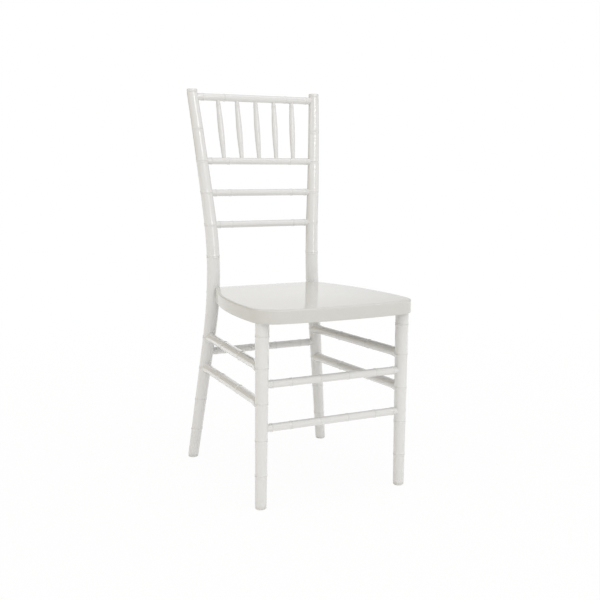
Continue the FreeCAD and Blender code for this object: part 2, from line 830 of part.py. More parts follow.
def seat_openings(side, bolt, screw):
    """What is cut out of the seat at one side: tenon bore, post notch and fastener bores."""
    mouth = size("seat_underside") - size("bore_bottom_gap")
    bottom = size("seat_underside") + size("leg_tenon_length") + size("bore_bottom_gap")
    bore = cylinder("leg_bore", leg_axis(mouth, side), leg_axis(bottom, side),
                    "%s + %s" % (cell("leg_tenon_radius"), cell("bore_gap")))
    notch = post_solid("seat_notch", side, cell("notch_gap"))
    return [bore, notch] + bolt.seat_bores() + [screw.bore(), screw.head_room()]


def seat_shell(bolts, screws):
    """The moulded seat: a skinned slab, hollow and ribbed below, with sockets and notches."""
    outer, last = seat_slab("seat_slab", "0", cell("seat_depth"))
    for name, level in (("seat_edge_rounding", size("seat_depth")), ("seat_lower_rounding", 0.0)):
        last = rounded(outer, last, name, lambda point, level=level: abs(point.z - level) < NEAR, cell(name))
    hollow_depth = "%s - %s" % (cell("seat_depth"), cell("seat_plate"))
    cavity = seat_slab("seat_cavity", cell("seat_wall"), hollow_depth)[0]
    for body in (outer, cavity):
        body.Placement = Placement(Vector(0, 0, size("seat_underside")), Rotation())
    kept, openings = seat_ribs(), []
    for side, bolt, screw in zip(SIDES.values(), bolts, screws):
        kept += seat_sockets(side, bolt)
        openings += seat_openings(side, bolt, screw)
    hollow = cut("seat_hollow", cavity, kept)
    return node(cut("seat_shell", outer, [hollow] + openings))


# The whole chair


def rear_post(word, side, links, strips, bolt):
    """A rear post with bores for its rails and stretchers, its cap, its glide and its bolt."""
    name = "rear_post_" + word
    top = size("overall_height") - size("cap_height")
    plug_end = post_axis(top, side) - Vector(0, 0, size("plug_length") + size("bore_bottom_gap"))
    bores = [link.bore(side > 0) for link in links] + [strip.bore(True) for strip in strips]
    plug_mouth = post_axis(top, side) + Vector(0, 0, size("bore_bottom_gap"))
    bores.append(cylinder(name + "_plug_bore", plug_end, plug_mouth,
                          "%s + %s" % (cell("plug_radius"), cell("bore_gap"))))
    bores.append(stem_bore(name, post_axis, side))
    return node(cut(name, post_solid(name + "_pole", side), bores + bolt.post_bores()))


def post_cap(word, side):
    """A turned cap with a narrow neck, set into the top of a rear post by a plug."""
    name = "post_cap_" + word
    seat = post_axis(size("overall_height") - size("cap_height"), side)
    wide, plug = cell("post_top_radius"), cell("plug_radius")
    neck, height = cell("cap_neck"), cell("cap_height")
    points = [
        ("0", "-" + cell("plug_length")),
        (plug, "-" + cell("plug_length")),
        (plug, "0"),
        ("%s - %s" % (wide, neck), "0"),
        ("%s - %s" % (wide, neck), neck),
        (wide, "%s * 2" % neck),
    ]
    points += eased_edge(wide, height, cell("cap_rounding")) + [("0", height)]
    return node(turned(name, points, Placement(seat, Rotation())))


def front_leg(word, side, links, strips, screw):
    """A front leg with its seat tenon and the bores for stretchers, glide and screw."""
    name = "front_leg_" + word
    shoulder = size("seat_underside") - size("fit_gap")
    root = leg_axis(shoulder - size("leg_tenon_radius"), side)
    tip = leg_axis(size("seat_underside") + size("leg_tenon_length"), side)
    tenon = cylinder(name + "_tenon", root, tip, cell("leg_tenon_radius"))
    whole = fuse(name + "_pole_and_tenon", [leg_solid(name + "_pole", side), tenon])
    bores = [link.bore(side > 0) for link in links] + [strip.bore(False) for strip in strips]
    return node(cut(name, whole, bores + [stem_bore(name, leg_axis, side), screw.bore()]))


def measure_seat_rear():
    """Tie the seat's rear corners to the posts, where they pass the top of the seat."""
    post = post_axis(size("seat_top"), 1.0)
    add_size("seat_rear_x", post.x)
    add_size("seat_rear_y", "=%.6f - seat_rear_inset" % post.y)
    doc.recompute()


def build_chair():
    """Draw every piece of the chair."""
    measure_seat_rear()
    rails = back_rails()
    upper = spindles(rails[0], rails[1])
    finish_post_link(rails[0], [spindle.bore(True) for spindle in upper])
    finish_post_link(rails[1], [spindle.bore(False) for spindle in upper])
    for rail in rails[2:]:
        finish_post_link(rail)
    places = ring_places("stretcher_ring_far", "stretcher_ring_near")
    rear = post_link("rear_stretcher", size("rear_stretcher_height"), cell("rear_stretcher_radius"), places,
                     size("tenon_reach"))
    finish_post_link(rear)
    fronts = front_stretchers()
    bolts = [SeatBolt(side) for side in SIDES.values()]
    screws = [LegScrew(side) for side in SIDES.values()]
    for (word, side), bolt, screw in zip(SIDES.items(), bolts, screws):
        strips = side_stretchers(word, side)
        rear_post(word, side, rails + [rear], strips, bolt)
        front_leg(word, side, fronts, strips, screw)
        post_cap(word, side)
        foot_glide("foot_glide_rear_" + word, post_axis, side, post_radius)
        foot_glide("foot_glide_front_" + word, leg_axis, side, leg_radius)
    seat_shell(bolts, screws)
    node(group("leg_screws", [screw.screw() for screw in screws]))
    node(group("seat_bolts", [bolt.bolt() for bolt in bolts]))
    node(group("bolt_inserts", [bolt.insert() for bolt in bolts]))
    node(group("bolt_covers", [bolt.cover() for bolt in bolts]))


build_chair()
doc.recompute()
for item in doc.Objects:
    if "Invalid" in item.State or "Error" in item.State:
        raise RuntimeError("%s did not recompute: %s" % (item.Name, item.State))
for item in NODES:
    if item.Shape.isNull() or not item.Shape.isValid() or not item.Shape.Solids:
        raise RuntimeError("%s has no valid solid" % item.Label)
    item.Shape.exportStep("parts/%s.step" % item.Label)
    print(item.Label, len(item.Shape.Solids), round(item.Shape.Volume))
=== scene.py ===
"""Chiavari chair: turned poles, spindle back, moulded seat and a plain white studio."""
import json
import math

import bpy
import numpy as np
from bpy.props import FloatProperty, FloatVectorProperty, IntProperty, PointerProperty
from mathutils import Matrix, Vector

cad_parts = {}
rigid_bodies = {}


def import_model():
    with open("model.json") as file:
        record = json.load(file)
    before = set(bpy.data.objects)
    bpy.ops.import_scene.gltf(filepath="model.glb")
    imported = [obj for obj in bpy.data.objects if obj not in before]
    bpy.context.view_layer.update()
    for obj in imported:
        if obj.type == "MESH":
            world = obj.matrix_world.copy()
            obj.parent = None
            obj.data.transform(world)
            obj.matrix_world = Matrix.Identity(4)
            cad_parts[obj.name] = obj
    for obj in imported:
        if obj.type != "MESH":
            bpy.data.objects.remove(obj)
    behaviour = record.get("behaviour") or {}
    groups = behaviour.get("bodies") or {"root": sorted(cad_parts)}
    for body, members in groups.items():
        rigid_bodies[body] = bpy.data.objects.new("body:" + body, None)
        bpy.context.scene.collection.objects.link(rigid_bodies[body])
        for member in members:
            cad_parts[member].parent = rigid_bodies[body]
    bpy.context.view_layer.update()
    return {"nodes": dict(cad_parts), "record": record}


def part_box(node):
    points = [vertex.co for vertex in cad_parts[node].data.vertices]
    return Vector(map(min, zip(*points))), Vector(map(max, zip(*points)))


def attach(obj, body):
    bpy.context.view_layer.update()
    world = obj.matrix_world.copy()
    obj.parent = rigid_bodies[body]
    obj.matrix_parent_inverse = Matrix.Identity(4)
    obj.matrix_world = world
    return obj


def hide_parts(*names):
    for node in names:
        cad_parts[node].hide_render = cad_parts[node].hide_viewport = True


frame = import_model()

bl_info = {
    "name": "Chiavari Chair",
    "version": (1, 0, 0),
    "blender": (4, 5, 0),
    "location": "View3D > Sidebar > Chair",
    "description": "Dresses the chair's poles, seat and fittings and sets up a white studio",
    "category": "Object",
}

SIDES = {"left": -1.0, "right": 1.0}
LEVEL_POLES = (
    "top_rail",
    "cross_rail_upper",
    "cross_rail_middle",
    "cross_rail_lower",
    "rear_stretcher",
    "front_stretcher_upper",
    "front_stretcher_lower",
)
SPINDLES = {"far_left": -2, "left": -1, "centre": 0, "right": 1, "far_right": 2}

# Rings on a rear post between the top rail and the seat, and the start of a dressed post's name
BACK_RINGS = 5
POST_NAME = "post_"

# Rows of faces over one ring, and how far they reach in lengths of the ring's own reach
RING_ROWS = 29
RING_ROWS_REACH = 1.25

# A level group of corners is a pole's circle when it has this many corners, is as deep as it is
# wide within this slack, and is wider than this
CIRCLE_CORNERS = 16
CIRCLE_SLACK = 0.0004
CIRCLE_WIDTH = 0.02

# Radii of an upright are read where the nearest ring is farther than this share of its reach
PLAIN_SHARE = 0.7

# A pole is steep when it rises by more than this share of its length
STEEP = 0.9

# How far a front leg goes on up inside the seat, and the slack at the joint of a foot and its glide
LEG_INTO_SEAT = 0.02
HEIGHT_SLACK = 0.0001

# A side stretcher starts this far inside its box, and its coved ends stay wide over this length
STRETCHER_INSET = 0.002
FLARE_HOLD = 0.012

# Power that sharpens the half sine of a spindle's belly
BELLY_POWER = 1.3

# A post cap's neck, the radius and steps of its rounding, and the share of its top that is flat
CAP_NECK = 0.0006
CAP_ROUNDING = 0.0022
CAP_STEPS = 9
CAP_FLAT = 0.5

SEEN_RAYS = ("Is Camera Ray", "Is Glossy Ray", "Is Transmission Ray")

# Directions: the darker left of the room, upwards, the chair's width and its depth
LEFT_AXIS = (-0.82, 0.57, 0.0)
UP_AXIS = (0.0, 0.0, 1.0)
SIDEWAYS = np.array([1.0, 0.0, 0.0])
BACKWARDS = np.array([0.0, 1.0, 0.0])

# Places of the two colours and of the result among a colour mix node's sockets
MIX_FIRST, MIX_SECOND, MIX_RESULT = 6, 7, 2


class ChairSizes(bpy.types.PropertyGroup):
    """Sizes of the turned detail that the frame doesn't carry."""

    around: IntProperty(
        name="Sides round a pole", description="Faces round every turned pole",
        default=64, min=16)
    row_pitch: FloatProperty(
        name="Row pitch", description="Distance between plain rows of faces along a pole",
        default=0.006, unit="LENGTH")
    ring_rise: FloatProperty(
        name="Ring rise", description="How far a bamboo ring stands out of its pole",
        default=0.0009, unit="LENGTH")
    ring_reach: FloatProperty(
        name="Ring reach", description="Half the length of a ring's swelling",
        default=0.0055, unit="LENGTH")
    groove_depth: FloatProperty(
        name="Groove depth", description="Depth of the cut line round the middle of a ring",
        default=0.0013, unit="LENGTH")
    groove_reach: FloatProperty(
        name="Groove reach", description="Half the width of the cut line", default=0.0009, unit="LENGTH")
    ring_pitch: FloatProperty(
        name="Ring pitch", description="Distance between rings on the back",
        default=0.0777, unit="LENGTH")
    ring_low: FloatProperty(
        name="Low ring", description="Height of the ring below the lower stretchers",
        default=0.1531, unit="LENGTH")
    ring_foot: FloatProperty(
        name="Foot ring", description="Height of the lowest ring", default=0.075, unit="LENGTH")
    ring_leg_top: FloatProperty(
        name="Top leg ring", description="Height of the ring under the seat",
        default=0.3804, unit="LENGTH")
    rail_ring_spread: FloatProperty(
        name="Rail rings", description="Distance of a back rail's rings from its middle",
        default=0.084, unit="LENGTH")
    stretcher_ring_near: FloatProperty(
        name="Near stretcher rings", description="Distance of a stretcher's inner rings from its middle",
        default=0.035, unit="LENGTH")
    stretcher_ring_far: FloatProperty(
        name="Far stretcher rings", description="Distance of a stretcher's outer rings from its middle",
        default=0.105, unit="LENGTH")
    side_ring_spread: FloatProperty(
        name="Side stretcher rings", description="Distance of a side stretcher's rings from its middle",
        default=0.062, unit="LENGTH")
    collar_setback: FloatProperty(
        name="Collar setback", description="Distance of a pole's end collar from the middle of its post",
        default=0.019, unit="LENGTH")
    flare_rise: FloatProperty(
        name="Flare rise", description="How far the coved ends of a side stretcher widen",
        default=0.0024, unit="LENGTH")
    flare_reach: FloatProperty(
        name="Flare reach", description="Length of a coved end", default=0.026, unit="LENGTH")
    spindle_pitch_top: FloatProperty(
        name="Spindle pitch at the top", description="Distance between spindles at the top rail",
        default=0.0505, unit="LENGTH")
    spindle_pitch_low: FloatProperty(
        name="Spindle pitch below", description="Distance between spindles at the cross rail",
        default=0.0473, unit="LENGTH")
    spindle_end: FloatProperty(
        name="Spindle end radius", description="Radius of a spindle at its ends",
        default=0.0046, unit="LENGTH")
    smooth_angle: FloatProperty(
        name="Smooth angle", description="Edges flatter than this are shaded smooth",
        default=math.radians(32), subtype="ANGLE")


class ChairColours(bpy.types.PropertyGroup):
    """Colours and gloss of the chair's materials."""

    resin: FloatVectorProperty(
        name="Resin", description="Off-white of the moulded resin", subtype="COLOR", size=3,
        default=(0.762, 0.757, 0.744), min=0, max=1)
    seat: FloatVectorProperty(
        name="Seat", description="Off-white of the seat", subtype="COLOR", size=3,
        default=(0.655, 0.646, 0.616), min=0, max=1)
    glide: FloatVectorProperty(
        name="Glide", description="Off-white of the feet's nylon tips", subtype="COLOR", size=3,
        default=(0.72, 0.71, 0.68), min=0, max=1)
    steel: FloatVectorProperty(
        name="Steel", description="Zinc-plated screws and bolts", subtype="COLOR", size=3,
        default=(0.62, 0.62, 0.63), min=0, max=1)
    brass: FloatVectorProperty(
        name="Brass", description="Threaded sleeves in the seat", subtype="COLOR", size=3,
        default=(0.72, 0.58, 0.30), min=0, max=1)
    resin_gloss: FloatProperty(
        name="Pole roughness", description="Roughness of the poles",
        default=0.08, min=0, max=1, subtype="FACTOR")
    seat_gloss: FloatProperty(
        name="Seat roughness", description="Roughness of the seat",
        default=0.09, min=0, max=1, subtype="FACTOR")
    lacquer: FloatProperty(
        name="Lacquer", description="Weight of the clear coat on the poles",
        default=1.0, min=0, max=1, subtype="FACTOR")


class StudioSizes(bpy.types.PropertyGroup):
    """Camera, lamps and floor."""

    camera_place: FloatVectorProperty(
        name="Camera", description="Where the camera stands",
        default=(-0.935, -1.9, 0.7293), subtype="TRANSLATION")
    camera_yaw: FloatProperty(
        name="Yaw", description="Turn of the camera to the right",
        default=math.radians(26.51), subtype="ANGLE")
    camera_pitch: FloatProperty(
        name="Pitch", description="Tilt of the camera below level",
        default=math.radians(8.31), subtype="ANGLE")
    camera_roll: FloatProperty(
        name="Roll", description="Roll of the camera",
        default=math.radians(0.175), subtype="ANGLE")
    lens: FloatProperty(name="Lens", description="Focal length in millimetres", default=54.18)
    floor_reach: FloatProperty(
        name="Floor reach", description="Half the width of the floor", default=14.0, unit="LENGTH")
    world_level: FloatProperty(
        name="World level", description="Strength of the light from all round",
        default=0.96, min=0)
    wing_level: FloatProperty(
        name="Wing level", description="Share of the light that comes from both sides behind the chair",
        default=0.55, min=0, max=1, subtype="FACTOR")
    backdrop_turn: FloatProperty(
        name="Backdrop turn",
        description="How far the backdrop's bright middle lies left of the line of sight",
        default=math.radians(8), subtype="ANGLE")
    backdrop_rise: FloatProperty(
        name="Backdrop rise", description="How high the backdrop's bright middle stands above level",
        default=math.radians(8), subtype="ANGLE")
    left_colour: FloatVectorProperty(
        name="Left side", description="Colour of the dimmer light from the left",
        subtype="COLOR", size=3, default=(0.73, 0.67, 0.54), min=0, max=1)
    top_level: FloatProperty(
        name="Top level", description="Share of the light that comes from high up all round",
        default=0.64, min=0, max=1, subtype="FACTOR")
    overhead_level: FloatProperty(
        name="Overhead level", description="Share of the light that comes from straight above",
        default=1.35, min=0)
    front_power: FloatProperty(
        name="Front softbox", description="Power of the high softbox in front of the chair",
        default=12.0, unit="POWER")
    left_power: FloatProperty(
        name="Left softbox", description="Power of the high softbox on the left",
        default=4.5, unit="POWER")
    strip_power: FloatProperty(
        name="Strip light", description="Power of the narrow light that only the rear posts catch",
        default=10.0, unit="POWER")
    floor_colour: FloatVectorProperty(
        name="Floor", description="Colour that the floor throws back on the chair",
        subtype="COLOR", size=3, default=(0.94, 0.935, 0.92), min=0, max=1)
    white_near: FloatProperty(
        name="Floor white near", description="Share of plain white in the floor beside the chair",
        default=0.95, min=0, max=1, subtype="FACTOR")
    white_from: FloatProperty(
        name="Floor near reach", description="Distance up to which the floor has that share",
        default=0.5, unit="LENGTH")
    white_to: FloatProperty(
        name="Floor far reach", description="Distance from which the floor is plain white",
        default=2.5, unit="LENGTH")


# Surfaces


def put_mesh(name, corners, faces, smooth_angle):
    """A mesh object at the origin from corner points and faces, shaded smooth below an angle."""
    mesh = bpy.data.meshes.new(name)
    mesh.from_pydata(corners, [], faces)
    mesh.polygons.foreach_set("use_smooth", np.ones(len(mesh.polygons), bool))
    mesh.set_sharp_from_angle(angle=smooth_angle)
    mesh.update()
    made = bpy.data.objects.new(name, mesh)
    bpy.context.scene.collection.objects.link(made)
    return made


def tube_mesh(name, centres, radii, across, upward, sides, smooth_angle):
    """A closed tube: row i is the circle centres[i] + radii[i] * (across cos t + upward sin t).

    The angle t runs once round in equal steps. Each end is closed by a fan to its own middle point,
    and across x upward points along the tube, so that the faces point outwards.
    """
    turn = np.linspace(0.0, 2 * math.pi, sides, endpoint=False)
    circle = np.cos(turn)[:, None] * across + np.sin(turn)[:, None] * upward
    rows = centres[:, None, :] + radii[:, None, None] * circle[None, :, :]
    corners = np.vstack([rows.reshape(-1, 3), centres[:1], centres[-1:]])
    count = len(centres)
    here = np.arange(sides)
    after = (here + 1) % sides
    base = np.arange(count - 1)[:, None] * sides
    above = base + sides
    quads = np.stack([base + here, base + after, above + after, above + here], -1).reshape(-1, 4)
    low, high = count * sides, count * sides + 1
    start = np.stack([after, here, np.full(sides, low)], -1)
    last = (count - 1) * sides
    end = np.stack([last + here, last + after, np.full(sides, high)], -1)
    faces = quads.tolist() + start.tolist() + end.tolist()
    return put_mesh(name, corners.tolist(), faces, smooth_angle)


def ring_profile(places, rings, sizes):
    """Radius to add along a pole: at each ring a cosine swelling less a narrow groove.

    At distance d from a ring, the swelling is half of 1 + cos(pi d / reach) and ends at its reach,
    and the groove is the bell exp(-(d / groove reach)^2).
    """
    away = np.abs(places[:, None] - np.asarray(rings)[None, :])
    wave = (1.0 + np.cos(math.pi * away / sizes.ring_reach)) / 2
    swell = np.where(away < sizes.ring_reach, wave, 0.0)
    groove = np.exp(-(away / sizes.groove_reach) ** 2)
    return (sizes.ring_rise * swell - sizes.groove_depth * groove).sum(axis=1)


def row_places(low, high, rings, sizes):
    """Places of the rows along a pole: an even pitch, and close rows at every ring."""
    even = np.linspace(low, high, max(int((high - low) / sizes.row_pitch), 2))
    close = np.linspace(-RING_ROWS_REACH, RING_ROWS_REACH, RING_ROWS) * sizes.ring_reach
    near = (np.asarray(rings)[:, None] + close[None, :]).ravel()
    return np.unique(np.clip(np.round(np.concatenate([even, near]), 6), low, high))


def straight_pole(name, start, end, radius_at, rings, sizes):
    """A pole along the line from start to end; its radius at distance s is radius_at(s) + rings(s)."""
    line = np.asarray(end, float) - np.asarray(start, float)
    length = float(np.linalg.norm(line))
    along = line / length
    across = np.cross(UP_AXIS if abs(along[2]) < STEEP else BACKWARDS, along)
    across /= np.linalg.norm(across)
    upward = np.cross(along, across)
    places = row_places(0.0, length, rings, sizes)
    centres = np.asarray(start, float) + places[:, None] * along
    radii = radius_at(places, length) + ring_profile(places, rings, sizes)
    return tube_mesh(name, centres, radii, across, upward, sizes.around, sizes.smooth_angle)


def level_sections(node):
    """Heights, middles and radii of the level circles that a CAD upright is drawn through.

    The corners are grouped by height; a group counts when it is round, with many corners.
    """
    found = frame["nodes"][node].data.vertices
    corners = np.empty(len(found) * 3)
    found.foreach_get("co", corners)
    corners = corners.reshape(-1, 3)
    heights = np.round(corners[:, 2], 5)
    keys, index, counts = np.unique(heights, return_inverse=True, return_counts=True)
    low, high = np.full((len(keys), 2), np.inf), np.full((len(keys), 2), -np.inf)
    np.minimum.at(low, index, corners[:, :2])
    np.maximum.at(high, index, corners[:, :2])
    width = high - low
    as_deep = np.abs(width[:, 0] - width[:, 1]) < CIRCLE_SLACK
    round_ones = (counts >= CIRCLE_CORNERS) & as_deep & (width[:, 0] > CIRCLE_WIDTH)
    middles = (low + high)[round_ones] / 2
    return keys[round_ones], middles, width[round_ones].mean(axis=1) / 2


def upright(name, node, low, high, rings, sizes):
    """An upright whose level circle at height z has its middle and radius read from the CAD sections.

    Radii are read between the rings only, so that the rings' own profile can be added to them.
    """
    heights, middles, radii = level_sections(node)
    away = np.abs(heights[:, None] - np.asarray(rings)[None, :]).min(axis=1)
    plain = away > sizes.ring_reach * PLAIN_SHARE
    places = row_places(low, high, rings, sizes)
    centres = np.stack([
        np.interp(places, heights, middles[:, 0]),
        np.interp(places, heights, middles[:, 1]),
        places,
    ], -1)
    wide = np.interp(places, heights[plain], radii[plain]) + ring_profile(places, rings, sizes)
    return tube_mesh(name, centres, wide, SIDEWAYS, BACKWARDS, sizes.around, sizes.smooth_angle)


def turned_stack(name, middle, profile, sizes):
    """A small turned piece on an upright axis: straight runs between (radius, height) pairs."""
    points = np.asarray(profile, float)
    centres = np.tile(np.asarray(middle, float), (len(points), 1))
    centres[:, 2] = points[:, 1]
    radii = points[:, 0]
    return tube_mesh(name, centres, radii, SIDEWAYS, BACKWARDS, sizes.around, sizes.smooth_angle)


# Materials


class NodeSheet:
    """A material's node tree with short ways to add and join nodes."""

    def __init__(self, name):
        self.material = bpy.data.materials.new(name)
        self.material.use_nodes = True
        self.tree = self.material.node_tree
        self.shader = self.tree.nodes["Principled BSDF"]
        self.place = self.tree.nodes.new("ShaderNodeTexCoord").outputs["Object"]

    def add(self, kind, links=(), **values):
        """A node of that kind with its input sockets set or joined."""
        made = self.tree.nodes.new(kind)
        for socket, value in values.items():
            made.inputs[socket.replace("_", " ")].default_value = value
        for socket, source in dict(links).items():
            self.tree.links.new(source, made.inputs[socket])
        return made

    def noise(self, scale, detail=3.0, stretch=None):
        """Noise on object coordinates, stretched by a mapping where asked."""
        source = self.place
        if stretch:
            mapping = self.add("ShaderNodeMapping", {"Vector": source})
            mapping.inputs["Scale"].default_value = stretch
            source = mapping.outputs["Vector"]
        made = self.add("ShaderNodeTexNoise", {"Vector": source}, Scale=scale, Detail=detail)
        return made.outputs["Fac"]

    def tint(self, source, dark, light):
        """A colour that runs from dark to light over the middle of a noise."""
        ramp = self.add("ShaderNodeValToRGB", {"Fac": source})
        ramp.color_ramp.elements[0].position = 0.3
        ramp.color_ramp.elements[1].position = 0.7
        ramp.color_ramp.elements[0].color = (*dark, 1.0)
        ramp.color_ramp.elements[1].color = (*light, 1.0)
        self.tree.links.new(ramp.outputs["Color"], self.shader.inputs["Base Color"])

    def roughness(self, source, low, high):
        """Roughness that runs from low to high with a noise."""
        spread = self.add("ShaderNodeMapRange", {"Value": source}, To_Min=low, To_Max=high)
        self.tree.links.new(spread.outputs["Result"], self.shader.inputs["Roughness"])

    def bump(self, source, strength, distance):
        """Fine relief from a noise."""
        made = self.add("ShaderNodeBump", {"Height": source}, Strength=strength, Distance=distance)
        self.tree.links.new(made.outputs["Normal"], self.shader.inputs["Normal"])


def shade(colour, factor):
    """A colour made lighter or darker by a factor."""
    return tuple(min(channel * factor, 1.0) for channel in colour)


def moulded_resin(name, colour, gloss, lacquer):
    """Glossy moulded resin: faint clouding, slight changes of gloss, mould texture, clear lacquer."""
    sheet = NodeSheet(name)
    sheet.tint(sheet.noise(scale=9.0), dark=shade(colour, 0.985), light=shade(colour, 1.01))
    sheet.roughness(sheet.noise(scale=45.0), low=gloss * 0.8, high=gloss * 1.25)
    sheet.bump(sheet.noise(scale=160.0, detail=2.0), strength=0.05, distance=0.0002)
    sheet.shader.inputs["IOR"].default_value = 1.49
    sheet.shader.inputs["Coat Weight"].default_value = lacquer
    sheet.shader.inputs["Coat Roughness"].default_value = 0.04
    sheet.shader.inputs["Coat IOR"].default_value = 1.5
    return sheet.material


def nylon(name, colour):
    """Matt nylon with a little grain."""
    sheet = NodeSheet(name)
    sheet.tint(sheet.noise(scale=40.0), dark=shade(colour, 0.96), light=shade(colour, 1.02))
    sheet.roughness(sheet.noise(scale=120.0), low=0.4, high=0.55)
    sheet.bump(sheet.noise(scale=500.0, detail=2.0), strength=0.1, distance=0.0002)
    return sheet.material


def plated_metal(name, colour, gloss):
    """Plated or machined metal with fine turning marks."""
    sheet = NodeSheet(name)
    marks = sheet.noise(scale=300.0, detail=2.0, stretch=(1.0, 1.0, 6.0))
    sheet.tint(marks, dark=shade(colour, 0.9), light=shade(colour, 1.05))
    sheet.roughness(marks, low=gloss, high=gloss + 0.12)
    sheet.bump(marks, strength=0.1, distance=0.0001)
    sheet.shader.inputs["Metallic"].default_value = 1.0
    return sheet.material


def finish_for(slot_name):
    """The procedural material of a record slot, made the first time it is asked for.

    Its name differs from the slot's, because the frame brings plain materials under the slots' names.
    """
    name = slot_name + "_finish"
    if name in bpy.data.materials:
        return bpy.data.materials[name]
    colours = bpy.context.scene.chair_colours
    pole_resin = (moulded_resin, colours.resin, colours.resin_gloss, colours.lacquer)
    recipes = {
        "frame_resin": pole_resin,
        "cap_resin": pole_resin,
        "seat_resin": (moulded_resin, colours.seat, colours.seat_gloss, 0.0),
        "glide_plastic": (nylon, colours.glide),
        "fastener_steel": (plated_metal, colours.steel, 0.28),
        "insert_brass": (plated_metal, colours.brass, 0.25),
    }
    recipe, *values = recipes[slot_name]
    return recipe(name, *values)


def dress(piece, slot_name, *nodes):
    """Give a new piece its finish, put it on the chair's body and let it stand for its CAD nodes."""
    piece.data.materials.append(finish_for(slot_name))
    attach(piece, "root")
    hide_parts(*nodes)


def box_of(node):
    """Lowest and highest corner of a CAD node as arrays."""
    low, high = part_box(node)
    return np.array(low), np.array(high)


def height_of(node):
    """Height of the middle of a level CAD pole."""
    low, high = box_of(node)
    return float(low[2] + high[2]) / 2


# Operators


class CHAIR_OT_uprights(bpy.types.Operator):
    """Turn the two rear posts and the two front legs with their bamboo rings"""

    bl_idname = "chair.uprights"
    bl_label = "Posts and Legs"

    def execute(self, context):
        sizes = context.scene.chair_sizes
        top_rail = height_of("top_rail")
        stretchers = [height_of("side_stretcher_%s_left" % place) for place in ("upper", "lower")]
        shared = stretchers + [sizes.ring_low, sizes.ring_foot]
        for word in SIDES:
            node = "rear_post_" + word
            low, high = box_of(node)
            cap_foot = float(high[2])
            back = [top_rail - step * sizes.ring_pitch for step in range(1, BACK_RINGS + 1)]
            rings = sorted(back + shared)
            post = upright(POST_NAME + word, node, float(low[2]), cap_foot, rings, sizes)
            dress(post, "frame_resin", node)
            node = "front_leg_" + word
            low, high = box_of(node)
            under_seat = float(box_of("seat_shell")[0][2])
            rings = sorted(shared + [sizes.ring_leg_top])
            leg = upright("leg_" + word, node, float(low[2]), under_seat + LEG_INTO_SEAT, rings, sizes)
            dress(leg, "frame_resin", node)
        return {"FINISHED"}


class CHAIR_OT_rails(bpy.types.Operator):
    """Turn the back rails and the front and rear stretchers"""

    bl_idname = "chair.rails"
    bl_label = "Rails and Cross Stretchers"

    def execute(self, context):
        sizes = context.scene.chair_sizes
        for node in LEVEL_POLES:
            low, high = box_of(node)
            middle = (low + high) / 2
            radius = (high[2] - low[2]) / 2 - sizes.ring_rise
            half = (high[0] - low[0]) / 2
            spreads = [sizes.rail_ring_spread]
            if "stretcher" in node:
                spreads = [sizes.stretcher_ring_near, sizes.stretcher_ring_far]
            collar = half - sizes.collar_setback
            rings = sorted([half + sign * spread for spread in spreads + [collar] for sign in (-1, 1)])
            start = middle - half * SIDEWAYS
            end = middle + half * SIDEWAYS

            def even(places, length):
                """The same radius all along."""
                return np.full(len(places), radius)

            pole = straight_pole(node + "_pole", start, end, even, rings, sizes)
            dress(pole, "frame_resin", node)
        return {"FINISHED"}


class CHAIR_OT_side_stretchers(bpy.types.Operator):
    """Turn the four side stretchers with their coved ends"""

    bl_idname = "chair.side_stretchers"
    bl_label = "Side Stretchers"

    def execute(self, context):
        sizes = context.scene.chair_sizes
        for word, side in SIDES.items():
            for place in ("upper", "lower"):
                self.turn("side_stretcher_%s_%s" % (place, word), side, sizes)
        return {"FINISHED"}

    def turn(self, node, side, sizes):
        """One stretcher from its leg to its post; the ends widen as the square of the way in."""
        low, high = box_of(node)
        wide = (high[2] - low[2]) / 2
        radius = wide - sizes.flare_rise
        outer, inner = (high[0], low[0]) if side > 0 else (low[0], high[0])
        height = (low[2] + high[2]) / 2
        start = (outer - side * wide, low[1] + STRETCHER_INSET, height)
        end = (inner + side * wide, high[1] - STRETCHER_INSET, height)
        half = (high[1] - low[1]) / 2

        def coved(places, length):
            """Radius plus rise * q^2, where q grows from 0 to 1 over the last stretch to each post."""
            from_end = np.minimum(places, length - places)
            q = np.clip((sizes.flare_reach + FLARE_HOLD - from_end) / sizes.flare_reach, 0.0, 1.0)
            return radius + sizes.flare_rise * q ** 2

        rings = [half - sizes.side_ring_spread, half + sizes.side_ring_spread]
        pole = straight_pole(node + "_pole", start, end, coved, rings, sizes)
        dress(pole, "frame_resin", node)


class CHAIR_OT_spindles(bpy.types.Operator):
    """Turn the spindles between the upper cross rail and the top rail"""

    bl_idname = "chair.spindles"
    bl_label = "Spindles"

    def execute(self, context):
        sizes = context.scene.chair_sizes
        top = sum(box_of("top_rail")) / 2
        low = sum(box_of("cross_rail_upper")) / 2
        near, far = box_of("spindle_centre")
        belly = (far[0] - near[0]) / 2

        def bellied(places, length):
            """End radius plus a half sine of the way along, raised to a power."""
            swell = np.sin(math.pi * np.clip(places / length, 0, 1)) ** BELLY_POWER
            return sizes.spindle_end + (belly - sizes.spindle_end) * swell

        for word, place in SPINDLES.items():
            start = (place * sizes.spindle_pitch_low, low[1], low[2])
            end = (place * sizes.spindle_pitch_top, top[1], top[2])
            length = float(np.linalg.norm(np.subtract(end, start)))
            node = "spindle_" + word
            rings = [length - sizes.collar_setback]
            pole = straight_pole(node + "_turned", start, end, bellied, rings, sizes)
            dress(pole, "frame_resin", node)
        return {"FINISHED"}


